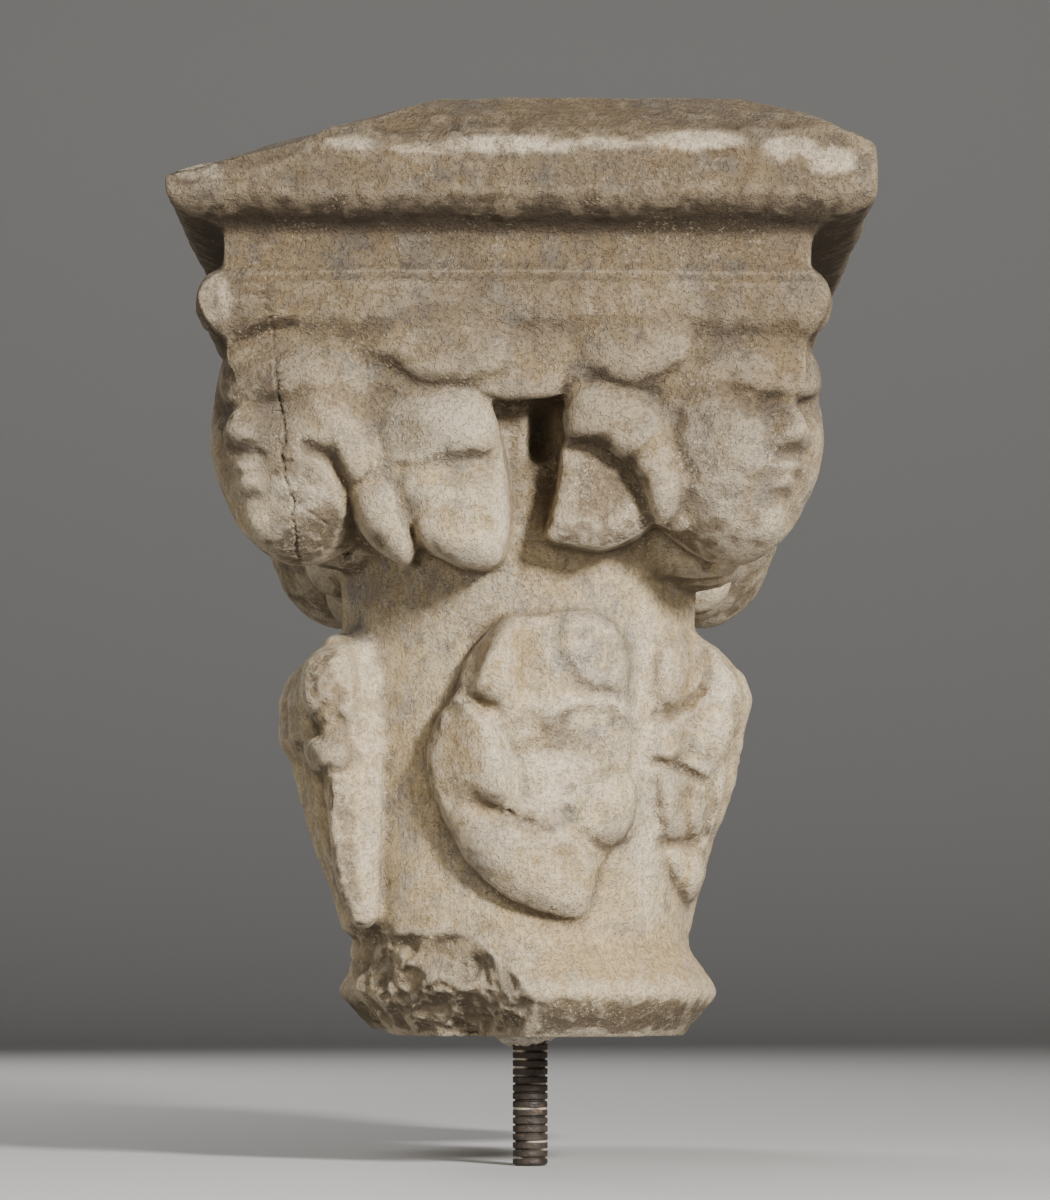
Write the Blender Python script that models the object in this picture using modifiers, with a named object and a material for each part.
"""Double capital for a pair of cloister columns, carved from one block, on its threaded setting rod.

Two round bells stand side by side under one long moulded abacus. A worn head hangs at each corner,
curls of hair fill the space between the heads, and broad leaves stand round the foot of each bell.
The stone is modelled with its underside at height 0 and its middle over the origin, and is then set
so that the lower end of the rod is at the world's origin. Its best end looks towards -Y.
"""

import math

import bmesh
import bpy
import numpy as np
from mathutils import Matrix, Vector

# Driving sizes, in metres
ABACUS_WIDTH = 0.304
ABACUS_LENGTH = 0.510
ABACUS_OFFSET = 0.002
STONE_HEIGHT = 0.4065
ABACUS_HEIGHT = 0.130
BELL_SPACING = 0.222

# Bells, with the ring at the foot of each
NECK_RADIUS = 0.0755
BELL_RADIUS = 0.080
LIP_RADIUS = 0.108
RING_RADIUS = 0.0905
FOOT_RADIUS = 0.074
RING_MID_HEIGHT = 0.019
RING_HEIGHT = 0.038
CHIP_RADIUS = 0.0545
CHIP_START = -108.0
CHIP_END = -14.0
CHIP_SLOPE = 0.0011

# Heads at the corners
HEAD_WIDTH = 0.087
HEAD_DEPTH = 0.090
HEAD_HEIGHT = 0.122
HEAD_INSET = 0.064
HEAD_DROP = 0.012
HEAD_NOD = math.radians(10)
HEAD_TURN = math.radians(40)
# The neck that ties a head to its bell lies at this share of the way out to the head
NECK_SHARE = 0.70
NECK_RISE = 0.012
NECK_RADII = (0.036, 0.045, 0.048)
# Knob of the abacus over each head
KNOB_RADII = (0.011, 0.014, 0.0155)
KNOB_SIDE_INSET = 0.023
KNOB_END_INSET = 0.032
KNOB_RISE = 0.040

# Curls between the heads, on the ends and on the long sides
CURL_DEPTH = 0.056
END_CURL_INSET = 0.019
SIDE_CURL_INSET = 0.051

# Leaves round the foot of each bell
LEAF_FOOT = 0.046
LEAF_HEIGHT = 0.138
SIDE_LEAF_STAND = 0.031
INNER_LEAF_STAND = 0.020

# Plain leaf that hangs from the abacus between the bells, on each long side
MIDDLE_LEAF_INSET = 0.078
MIDDLE_LEAF_DROP = 0.016
MIDDLE_LEAF_RADII = (0.036, 0.036, 0.052)
MIDDLE_LEAF_TIP = 0.15

# Broken corner of the abacus: how far below the top it meets the corner's edge, and the way it faces
BREAK_DROP = 0.0405
BREAK_FACING = (-0.288, -0.184, 1.0)

# Setting rod, its hole and the mortar round its root
ROD_RADIUS = 0.0079
ROD_REACH = 0.0585
ROD_DEPTH = 0.110
ROD_OFFSET = 0.0054
ROD_CHAMFER = 0.0012
CLEARANCE = 0.0003
MORTAR_RADIUS = 0.0165
MORTAR_THICKNESS = 0.0055

# Fineness of the modelled stone
GRID = 0.003
TRIM = 0.002
TRIM_ROOM = 0.1
STONE_TRIANGLES = 9200
SMOOTHING_PASSES = 1

STONE_COLOUR = (0.42, 0.36, 0.28, 1.0)
ROD_COLOUR = (0.10, 0.075, 0.055, 1.0)
MORTAR_COLOUR = (0.33, 0.29, 0.23, 1.0)

ABACUS_FOOT = STONE_HEIGHT - ABACUS_HEIGHT
BELL_Y = BELL_SPACING / 2


def bell_profile():
    """Radius and height up the bell, from the foot to the lip under the abacus."""
    return (
        (FOOT_RADIUS, -TRIM),
        (FOOT_RADIUS, 0.0),
        (RING_RADIUS - 0.003, RING_MID_HEIGHT - 0.006),
        (RING_RADIUS, RING_MID_HEIGHT),
        (RING_RADIUS - 0.003, RING_MID_HEIGHT + 0.006),
        (NECK_RADIUS + 0.002, RING_HEIGHT),
        (NECK_RADIUS, RING_HEIGHT + 0.009),
        (BELL_RADIUS - 0.002, 0.45 * ABACUS_FOOT),
        (BELL_RADIUS, 0.73 * ABACUS_FOOT),
        (BELL_RADIUS + 0.006, 0.88 * ABACUS_FOOT),
        (LIP_RADIUS - 0.012, ABACUS_FOOT),
        (LIP_RADIUS, ABACUS_FOOT + 0.020),
    )


def abacus_levels():
    """Height above the abacus's foot, inset on the long sides and inset at the ends, going up."""
    top = ABACUS_HEIGHT
    return (
        (0.000, 0.031, 0.029),
        (0.003, 0.027, 0.025),
        (0.024, 0.024, 0.023),
        (0.030, 0.016, 0.019),
        (0.040, 0.012, 0.016),
        (0.049, 0.015, 0.018),
        (0.053, 0.022, 0.021),
        (0.070, 0.023, 0.022),
        (0.073, 0.018, 0.016),
        (0.077, 0.005, 0.004),
        (0.082, 0.000, 0.000),
        (top - 0.026, 0.000, 0.000),
        (top - 0.0185, 0.014, 0.003),
        (top - 0.0115, 0.025, 0.012),
        (top - 0.0055, 0.036, 0.024),
        (top + TRIM, 0.058, 0.040),
    )


# The abacus's long side on the right is cut further in, by this much above the abacus's foot
RIGHT_INSET = ((0.020, 0.003), (0.030, 0.007), (0.050, 0.007), (0.057, 0.003), (0.072, 0.003), (0.078, 0.0))


# Lobes of the leaf at the end of each bell, as azimuth, share of the leaf's height, half width, half
# share of height, stand out and roll. Angles are in degrees.
END_LEAF = (
    (9.0, 0.53, 24.0, 0.44, 0.0095, 0.0),
    (-4.5, 0.83, 9.5, 0.175, 0.0190, 14.0),
    (20.0, 0.85, 11.5, 0.15, 0.0155, 0.0),
    (-12.5, 0.50, 10.0, 0.29, 0.0185, 6.0),
    (4.0, 0.24, 17.0, 0.17, 0.0135, -30.0),
    (25.0, 0.39, 9.5, 0.15, 0.0150, 28.0),
    (12.0, 0.58, 9.0, 0.16, 0.0130, 20.0),
)
# Stand out of a side leaf up its height, as shares of its greatest stand out
SIDE_LEAF_SWELL = (
    (0.0, 0.10), (0.13, 0.26), (0.29, 0.52), (0.45, 0.71), (0.55, 0.80),
    (0.62, 0.97), (0.76, 0.95), (0.84, 0.80), (0.92, 0.42), (0.98, 0.0),
)
# The leaf on the bell's right stands out less, by this share up its height
RIGHT_LEAF_SHARE = ((0.0, 0.60), (0.30, 0.65), (0.42, 0.80), (0.50, 0.86), (0.64, 0.78), (0.76, 0.92))
# Half width of a side leaf up its height, in degrees round the bell
SIDE_LEAF_SPREAD = ((0.0, 20.0), (0.2, 34.0), (0.45, 44.0), (0.8, 45.0), (0.93, 36.0), (1.0, 22.0))

# Curls of hair, as lumps: across from the bell's middle, below the abacus's foot, half width, half
# height and roll. The first kind is a round curl and the second a hanging lock with a flap.
ROUND_CURL = (
    (0.031, 0.010, 0.0285, 0.0190, 0.0),
    (0.0255, 0.052, 0.0240, 0.0260, 0.0),
    (0.052, 0.053, 0.0110, 0.0220, 0.10),
    (0.070, 0.024, 0.0190, 0.0300, 0.30),
)
LOCK_CURL = (
    (0.027, 0.009, 0.0190, 0.0160, 0.0),
    (0.043, 0.016, 0.0190, 0.0155, 0.55),
    (0.057, 0.034, 0.0140, 0.0200, 0.25),
    (0.066, 0.052, 0.0105, 0.0140, 0.10),
    (0.032, 0.048, 0.0225, 0.0220, 0.0),
    (0.073, 0.020, 0.0170, 0.0280, 0.20),
)
# Swags that hang from the abacus over the curls: across, above its foot, half width and half height
SWAGS = ((-0.026, 0.020, 0.040, 0.016), (0.045, 0.016, 0.022, 0.013))


def right_inset(above):
    return float(np.interp(above, *zip(*RIGHT_INSET)))


def clear_scene():
    for thing in list(bpy.data.objects):
        bpy.data.objects.remove(thing)


def collection(name):
    made = bpy.data.collections.new(name)
    bpy.context.scene.collection.children.link(made)
    return made


def material(name, colour, roughness, metallic):
    made = bpy.data.materials.new(name)
    made.use_nodes = True
    shader = made.node_tree.nodes["Principled BSDF"]
    shader.inputs["Base Color"].default_value = colour
    shader.inputs["Roughness"].default_value = roughness
    shader.inputs["Metallic"].default_value = metallic
    return made


def new_object(name, mesh, group, finish=None):
    made = bpy.data.objects.new(name, mesh)
    group.objects.link(made)
    if finish:
        made.data.materials.clear()
        made.data.materials.append(finish)
    return made


def add_modifier(thing, name, kind, **settings):
    made = thing.modifiers.new(name, kind)
    for key, value in settings.items():
        setattr(made, key, value)
    return made


def evaluated_mesh(thing):
    """The object's mesh with its modifiers applied."""
    bpy.context.view_layer.update()
    graph = bpy.context.evaluated_depsgraph_get()
    return bpy.data.meshes.new_from_object(thing.evaluated_get(graph))


def turned(name, profile, group, steps):
    """A closed turned solid. The profile runs down its outer side, top to bottom, as (radius, height)."""
    mesh = bpy.data.meshes.new(name)
    points = [(0.0, 0.0, profile[0][1])]
    points += [(radius, 0.0, height) for radius, height in profile]
    points += [(0.0, 0.0, profile[-1][1])]
    mesh.from_pydata(points, [(i, i + 1) for i in range(len(points) - 1)], [])
    made = new_object(name, mesh, group)
    add_modifier(
        made, "Turn", "SCREW", steps=steps, render_steps=steps,
        use_merge_vertices=True, merge_threshold=0.00005,
    )
    return made


def mesh_points(mesh):
    points = np.empty(len(mesh.vertices) * 3, np.float32)
    mesh.vertices.foreach_get("co", points)
    return points.reshape(-1, 3).astype(float)


def set_mesh_points(mesh, points):
    mesh.vertices.foreach_set("co", points.astype(np.float32).ravel())
    mesh.update()


class Masses:
    """The stone's rough shapes, gathered as points and triangles before they are run together."""

    def __init__(self):
        self.points = []
        self.triangles = []
        self.count = 0

    def add(self, points, triangles):
        self.points.append(points)
        self.triangles.append(triangles + self.count)
        self.count += len(points)

    def add_mesh(self, mesh):
        mesh.calc_loop_triangles()
        corners = np.empty(len(mesh.loop_triangles) * 3, np.int32)
        mesh.loop_triangles.foreach_get("vertices", corners)
        self.add(mesh_points(mesh), corners.reshape(-1, 3))
        bpy.data.meshes.remove(mesh)

    def mesh(self, name):
        made = bpy.data.meshes.new(name)
        points = np.concatenate(self.points)
        made.from_pydata(points.tolist(), [], np.concatenate(self.triangles).tolist())
        return made


def unit_ball(segments, rings):
    """Points and triangles of a ball of radius 1."""
    ball = bmesh.new()
    bmesh.ops.create_uvsphere(ball, u_segments=segments, v_segments=rings, radius=1.0)
    bmesh.ops.triangulate(ball, faces=ball.faces)
    points = np.array([v.co for v in ball.verts])
    triangles = np.array([[v.index for v in f.verts] for f in ball.faces])
    ball.free()
    return points, triangles


def turn_matrix(azimuth, nod=0.0, roll=0.0):
    """Turns a shape that looks along -Y to an azimuth, after tipping it forward and rolling it."""
    return np.array(
        Matrix.Rotation(azimuth, 3, "Z") @ Matrix.Rotation(nod, 3, "X") @ Matrix.Rotation(roll, 3, "Y")
    )


def add_lump(masses, ball, centre, radii, turn, boxy=1.0):
    """A rounded mass. A boxy value under 1 squares it up."""
    points, triangles = ball
    local = np.sign(points) * np.abs(points) ** boxy * np.array(radii)
    masses.add(local @ turn.T + np.array(centre), triangles)


def lobe(across, up, lobe_shape):
    """The height of one rounded lobe over a leaf, steep at its edge."""
    centre_across, centre_up, half_width, half_height, stand, roll = lobe_shape
    turn = math.radians(roll)
    x = (across - centre_across) / half_width
    y = (up - centre_up) / half_height
    u = x * math.cos(turn) + y * math.sin(turn)
    v = y * math.cos(turn) - x * math.sin(turn)
    return stand * np.clip(1 - u * u - v * v, 0, 1) ** 0.45


def leaf_stand(azimuth, height):
    """How far the leaves stand out of a bell, at an azimuth in degrees from its outer end."""
    up = (height - LEAF_FOOT) / LEAF_HEIGHT
    stand = np.zeros_like(azimuth)
    for shape in END_LEAF:
        stand = np.maximum(stand, lobe(azimuth, up, shape))
    swell = np.interp(up, *zip(*SIDE_LEAF_SWELL), left=0.0, right=0.0)
    spread = np.interp(up, *zip(*SIDE_LEAF_SPREAD))
    right = SIDE_LEAF_STAND * np.interp(up, *zip(*RIGHT_LEAF_SHARE))
    scallop = 1 - 0.12 * np.abs(np.sin(math.pi * (3 * up + 0.25)))
    for middle, most in ((-90.0, SIDE_LEAF_STAND), (90.0, right), (180.0, INNER_LEAF_STAND)):
        away = np.abs((azimuth - middle + 180) % 360 - 180) / (spread * scallop)
        edge = np.clip(1 - away**3, 0, 1) ** 0.42
        rib = 1 - 0.16 * np.exp(-((away - 0.42) / 0.16) ** 2)
        stand = np.maximum(stand, most * swell * edge * rib)
    return stand


def chip_limit(azimuth, height):
    """Greatest radius at the foot, where the ring is broken away round one quarter."""
    bite = 0.0018 * np.sin(azimuth * 0.13) + 0.0012 * np.sin(azimuth * 0.37 + 1.0)
    limit = np.minimum(CHIP_RADIUS + np.maximum(height, 0), NECK_RADIUS - 0.002) + bite
    outside = np.maximum(azimuth - CHIP_END, 0) + np.maximum(CHIP_START - azimuth, 0)
    return limit + CHIP_SLOPE * outside


def add_bells(masses, group):
    """The two bells, turned and then given their leaves."""
    radii, heights = zip(*bell_profile())
    levels = np.linspace(heights[-1], heights[0], round(heights[-1] / GRID))
    profile = [(float(np.interp(level, heights, radii)), float(level)) for level in levels]
    bell = turned("bell_form", profile, group, 180)
    for end in (-1, 1):
        mesh = evaluated_mesh(bell)
        points = mesh_points(mesh)
        radius = np.hypot(points[:, 0], points[:, 1])
        azimuth = np.degrees(np.arctan2(-end * points[:, 0], end * points[:, 1]))
        grown = radius + leaf_stand(azimuth, points[:, 2])
        if end < 0:
            low = points[:, 2] < RING_HEIGHT + 0.006
            grown = np.where(low, np.minimum(grown, chip_limit(azimuth, points[:, 2])), grown)
        scale = np.where(radius > 0.5 * CHIP_RADIUS, grown / np.maximum(radius, CLEARANCE), 1.0)
        points[:, 0] *= scale
        points[:, 1] = points[:, 1] * scale + end * BELL_Y
        set_mesh_points(mesh, points)
        masses.add_mesh(mesh)
    bpy.data.objects.remove(bell)


def add_abacus(masses):
    """A rectangle raised level by level through the mouldings of the abacus."""
    block = bmesh.new()
    corners = bmesh.ops.create_cube(block, size=1.0)["verts"]
    levels = abacus_levels()

    def place(points, level):
        rise, side_inset, end_inset = level
        left = ABACUS_OFFSET - ABACUS_WIDTH / 2 + side_inset
        right = ABACUS_OFFSET + ABACUS_WIDTH / 2 - side_inset - right_inset(rise)
        for v in points:
            v.co.x = left if v.co.x < ABACUS_OFFSET else right
            v.co.y = math.copysign(ABACUS_LENGTH / 2 - end_inset, v.co.y)
            v.co.z = ABACUS_FOOT + rise

    low = [v for v in corners if v.co.z < 0]
    top = [v for v in corners if v.co.z > 0]
    place(low, levels[0])
    place(top, levels[1])
    for level in levels[2:]:
        cap = next(f for f in top[0].link_faces if all(v in top for v in f.verts))
        raised = bmesh.ops.extrude_face_region(block, geom=[cap])["geom"]
        bmesh.ops.delete(block, geom=[cap], context="FACES_ONLY")
        top = [g for g in raised if isinstance(g, bmesh.types.BMVert)]
        place(top, level)
    bmesh.ops.recalc_face_normals(block, faces=block.faces)
    mesh = bpy.data.meshes.new("abacus_form")
    block.to_mesh(mesh)
    block.free()
    masses.add_mesh(mesh)


def bump(across, up, centre, size):
    """A smooth hill of height 1 over a place on the face."""
    return np.exp(-(((across - centre[0]) / size[0]) ** 2) - ((up - centre[1]) / size[1]) ** 2)


def rise(value, start, end):
    """0 before the start and 1 after the end, with a smooth change between them."""
    share = np.clip((value - start) / (end - start), 0, 1)
    return share * share * (3 - 2 * share)


def face_relief(across, up):
    """How far a calm, plain face and its hair stand out, as a share of half the head's depth.

    Across and up run from -1 to 1 over the head. The eyes lie half way up it, the foot of the nose a
    third of the way down from them to the chin, and the mouth half way.
    """
    side = np.abs(across)
    down_nose = rise(-up, -0.16, 0.30)
    nose = 0.30 * down_nose * (1 - rise(-up, 0.32, 0.40))
    nose = nose * np.exp(-((side / (0.10 + 0.07 * down_nose)) ** 2))
    hair = 0.13 * rise((side / 0.80) ** 2 + ((up + 0.22) / 0.74) ** 2, 0.90, 1.15)
    return (
        nose
        + hair
        + 0.10 * bump(side, up, (0.34, 0.19), (0.30, 0.08))
        - 0.24 * bump(side, up, (0.34, 0.01), (0.22, 0.14))
        + 0.17 * bump(side, up, (0.34, 0.00), (0.15, 0.075))
        + 0.07 * bump(side, up, (0.42, -0.28), (0.22, 0.18))
        + 0.16 * bump(side, up, (0.0, -0.54), (0.24, 0.10))
        - 0.14 * bump(side, up, (0.0, -0.54), (0.24, 0.026))
        + 0.13 * bump(side, up, (0.0, -0.84), (0.22, 0.12))
    )


def add_head(masses, ball, centre, turn):
    """A head that looks along its own -y, with a squarish crown and a jaw that narrows downwards."""
    points, triangles = ball
    squared = np.sign(points) * np.abs(points) ** 0.88
    x, y, z = squared.T
    jaw = 1 - 0.32 * np.maximum(-z, 0.0) ** 1.6
    forward = rise(-points[:, 1], 0.0, 0.5)
    local = np.stack(
        (
            x * jaw * HEAD_WIDTH / 2,
            (y * jaw - face_relief(x, z) * forward) * HEAD_DEPTH / 2,
            z * HEAD_HEIGHT / 2,
        ),
        axis=1,
    )
    masses.add(local @ turn.T + np.array(centre), triangles)


def add_heads(masses):
    """A head at each corner, with the neck that ties it to its bell and the abacus's knob above."""
    fine = unit_ball(128, 96)
    plain = unit_ball(32, 24)
    height = ABACUS_FOOT - HEAD_DROP
    for end in (-1, 1):
        for side in (-1, 1):
            azimuth = side * HEAD_TURN if end < 0 else math.pi - side * HEAD_TURN
            turn = turn_matrix(azimuth, -HEAD_NOD)
            x = side * (ABACUS_WIDTH / 2 - HEAD_INSET)
            y = end * (ABACUS_LENGTH / 2 - HEAD_INSET)
            add_head(masses, fine, (x, y, height), turn)
            neck_y = end * BELL_Y + NECK_SHARE * (y - end * BELL_Y)
            add_lump(masses, plain, (NECK_SHARE * x, neck_y, height + NECK_RISE), NECK_RADII, turn)
            inset = KNOB_SIDE_INSET + (right_inset(KNOB_RISE) if side > 0 else 0.0)
            knob_x = ABACUS_OFFSET + side * (ABACUS_WIDTH / 2 - inset)
            knob_y = end * (ABACUS_LENGTH / 2 - KNOB_END_INSET)
            add_lump(masses, plain, (knob_x, knob_y, ABACUS_FOOT + KNOB_RISE), KNOB_RADII, turn)


def curl_faces():
    """The faces that carry curls, as middle, azimuth and inset: each end, and each bell's side."""
    for end in (-1, 1):
        end_y = end * (ABACUS_LENGTH / 2 - END_CURL_INSET)
        yield (ABACUS_OFFSET, end_y), (0.0 if end < 0 else math.pi)
        for side in (-1, 1):
            side_x = ABACUS_OFFSET + side * (ABACUS_WIDTH / 2 - SIDE_CURL_INSET)
            yield (side_x, end * BELL_Y), side * math.pi / 2


def add_curls(masses):
    """The curls on each face, with the swags over them, pushed in from the face by half their depth."""
    ball = unit_ball(36, 28)
    for (middle_x, middle_y), azimuth in curl_faces():
        turn = turn_matrix(azimuth)
        for lumps, side in ((ROUND_CURL, -1), (LOCK_CURL, 1)):
            for across, below, half_width, half_height, roll in lumps:
                offset = turn @ np.array((side * across, CURL_DEPTH / 2, 0.0))
                centre = (middle_x + offset[0], middle_y + offset[1], ABACUS_FOOT - below)
                radii = (half_width, CURL_DEPTH / 2, half_height)
                add_lump(masses, ball, centre, radii, turn_matrix(azimuth, 0.0, side * roll), 0.7)
        for across, above, half_width, half_height in SWAGS:
            offset = turn @ np.array((across, CURL_DEPTH / 2, 0.0))
            centre = (middle_x + offset[0], middle_y + offset[1], ABACUS_FOOT + above)
            add_lump(masses, ball, centre, (half_width, CURL_DEPTH / 2, half_height), turn, 0.8)


def add_middle_leaves(masses):
    """The plain leaf that hangs from the abacus between the bells, on each long side."""
    ball = unit_ball(36, 28)
    for side in (-1, 1):
        x = ABACUS_OFFSET + side * (ABACUS_WIDTH / 2 - MIDDLE_LEAF_INSET)
        turn = turn_matrix(side * math.pi / 2, MIDDLE_LEAF_TIP)
        add_lump(masses, ball, (x, 0.0, ABACUS_FOOT - MIDDLE_LEAF_DROP), MIDDLE_LEAF_RADII, turn, 0.85)


def press_to_plane(points, through, normal):
    """Moves every point beyond a plane back onto it, as a broken face."""
    normal = np.array(normal) / np.linalg.norm(normal)
    beyond = np.maximum((points - np.array(through)) @ normal, 0.0)
    return points - beyond[:, None] * normal


def stone_mesh(group):
    """All the masses run together into one worn surface, with its broken corner."""
    masses = Masses()
    add_bells(masses, group)
    add_abacus(masses)
    add_heads(masses)
    add_curls(masses)
    add_middle_leaves(masses)
    form = new_object("stone_form", masses.mesh("stone_form"), group)
    add_modifier(form, "One surface", "REMESH", mode="VOXEL", voxel_size=GRID)
    add_modifier(form, "Wear", "SMOOTH", factor=0.5, iterations=SMOOTHING_PASSES)
    worn = evaluated_mesh(form)
    bpy.data.objects.remove(form)
    corner = (ABACUS_OFFSET - ABACUS_WIDTH / 2, -ABACUS_LENGTH / 2, STONE_HEIGHT - BREAK_DROP)
    set_mesh_points(worn, press_to_plane(mesh_points(worn), corner, BREAK_FACING))
    return worn


def cutter(name, group, low, high):
    """A block that the stone is trimmed with, from one corner to the other."""
    centre = [(a + b) / 2 for a, b in zip(low, high)]
    size = [b - a for a, b in zip(low, high)]
    mesh = bpy.data.meshes.new(name)
    block = bmesh.new()
    bmesh.ops.create_cube(block, size=1.0, matrix=Matrix.Translation(centre) @ Matrix.Diagonal((*size, 1.0)))
    block.to_mesh(mesh)
    block.free()
    return hidden(new_object(name, mesh, group))


def drill(name, group, place, radius, low, high):
    """A round cutter of one radius, from one height to another."""
    mesh = bpy.data.meshes.new(name)
    bit = bmesh.new()
    middle = Matrix.Translation((*place, (low + high) / 2))
    bmesh.ops.create_cone(
        bit, cap_ends=True, segments=24, radius1=radius, radius2=radius, depth=high - low, matrix=middle
    )
    bit.to_mesh(mesh)
    bit.free()
    return hidden(new_object(name, mesh, group))


def hidden(thing):
    thing.hide_render = True
    thing.display_type = "WIRE"
    return thing


def build_capital(group, cutters, origin):
    """The carved stone, with flat beds above and below and the hole for the rod."""
    finish = material("worn_stone", STONE_COLOUR, 0.9, 0.0)
    stone = new_object("capital", stone_mesh(cutters), group, finish)
    stone.data.calc_loop_triangles()
    share = STONE_TRIANGLES / len(stone.data.loop_triangles)
    add_modifier(stone, "Fewer faces", "DECIMATE", ratio=share, use_collapse_triangulate=True)
    x, y, room = ABACUS_WIDTH, ABACUS_LENGTH, TRIM_ROOM
    foot = cutter("foot_cutter", cutters, (-x, -y, -room), (x, y, 0.0))
    top = cutter("top_cutter", cutters, (-x, -y, STONE_HEIGHT), (x, y, STONE_HEIGHT + room))
    bit_radius = ROD_RADIUS + CLEARANCE
    hole = drill("hole_cutter", cutters, (ROD_OFFSET, -BELL_Y), bit_radius, -room, ROD_DEPTH + CLEARANCE)
    for name, tool in (("Level foot", foot), ("Level top", top), ("Rod hole", hole)):
        add_modifier(stone, name, "BOOLEAN", operation="DIFFERENCE", object=tool)
    for thing in (stone, foot, top, hole):
        thing.location = origin
    stone.data.shade_smooth()
    return stone


def build_rod(group):
    """The round iron rod, with the rim of its lower end taken off."""
    profile = (
        (ROD_RADIUS, ROD_REACH + ROD_DEPTH),
        (ROD_RADIUS, ROD_CHAMFER),
        (ROD_RADIUS - ROD_CHAMFER, 0.0),
    )
    rod = turned("setting_rod", profile, group, 32)
    rod.data.materials.append(material("rusted_iron", ROD_COLOUR, 0.7, 0.8))
    return rod


def build_mortar(group):
    """The ring of setting mortar squeezed out round the rod, under the stone."""
    inner = ROD_RADIUS + CLEARANCE
    rim = (
        (inner, -CLEARANCE),
        (MORTAR_RADIUS, -CLEARANCE),
        (MORTAR_RADIUS - 0.001, -0.4 * MORTAR_THICKNESS),
        (inner + 0.0035, -MORTAR_THICKNESS),
        (inner, -MORTAR_THICKNESS),
    )
    mesh = bpy.data.meshes.new("setting_mortar")
    points = [(radius, 0.0, height) for radius, height in rim]
    mesh.from_pydata(points, [(i, (i + 1) % len(points)) for i in range(len(points))], [])
    mortar = new_object("setting_mortar", mesh, group, material("mortar", MORTAR_COLOUR, 0.95, 0.0))
    add_modifier(
        mortar, "Turn", "SCREW", steps=20, render_steps=20,
        use_merge_vertices=True, merge_threshold=0.00005,
    )
    mortar.location = (0, 0, ROD_REACH)
    return mortar


def main():
    clear_scene()
    parts = collection("double_capital")
    cutters = collection("cutters")
    build_capital(parts, cutters, Vector((-ROD_OFFSET, BELL_Y, ROD_REACH)))
    build_rod(parts)
    build_mortar(parts)


main()
